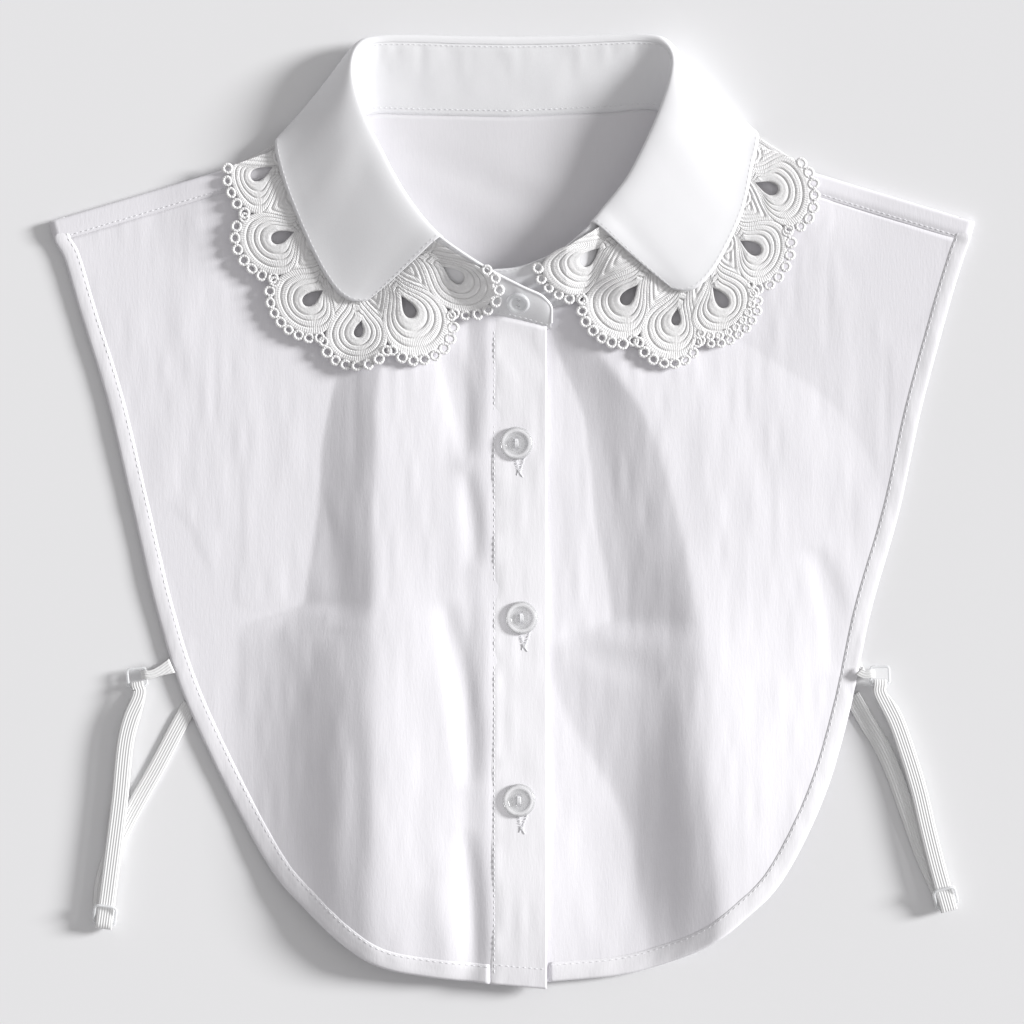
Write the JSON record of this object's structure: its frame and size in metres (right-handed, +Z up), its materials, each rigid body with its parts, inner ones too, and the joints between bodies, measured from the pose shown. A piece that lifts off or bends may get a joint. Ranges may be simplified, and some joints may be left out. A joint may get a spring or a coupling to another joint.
{
  "type": "detachable lace-trimmed collar",
  "caption": "Flat-laid false collar: turned-down collar with scalloped lace edge on a short buttoned bib with elastic side straps.",
  "frame": {"origin": "on the surface that the collar lies on, under the middle of its outline", "axes": "+Z up from that surface, +Y from the hem to the neck, +X to the right of someone looking down on the fronts"},
  "size_m": [0.3804, 0.3919, 0.0191],
  "materials": {
    "crepe": "matt crinkled crepe",
    "plain_weave": "smooth plain weave",
    "lace_thread": "corded cotton lace",
    "elastic": "ribbed woven elastic",
    "clear_plastic": "clear, polished"
  },
  "bodies": {
    "root": {"back_panel": "crepe", "front_left": "crepe", "front_right": "crepe", "placket": "crepe", "binding_left": "crepe", "binding_right": "crepe", "collar_stand": "plain_weave", "collar_fall": "plain_weave", "lace_left": "lace_thread", "lace_right": "lace_thread", "lace_back": "lace_thread", "button_collar": "clear_plastic", "button_placket_1": "clear_plastic", "button_placket_2": "clear_plastic", "button_placket_3": "clear_plastic", "strap_tab_left": "elastic", "strap_ring_left": "clear_plastic", "strap_loop_left": "elastic", "strap_slider_left": "clear_plastic", "strap_anchor_left": "elastic", "strap_tab_right": "elastic", "strap_ring_right": "clear_plastic", "strap_loop_right": "elastic", "strap_slider_right": "clear_plastic", "strap_anchor_right": "elastic"}
  },
  "joints": []
}
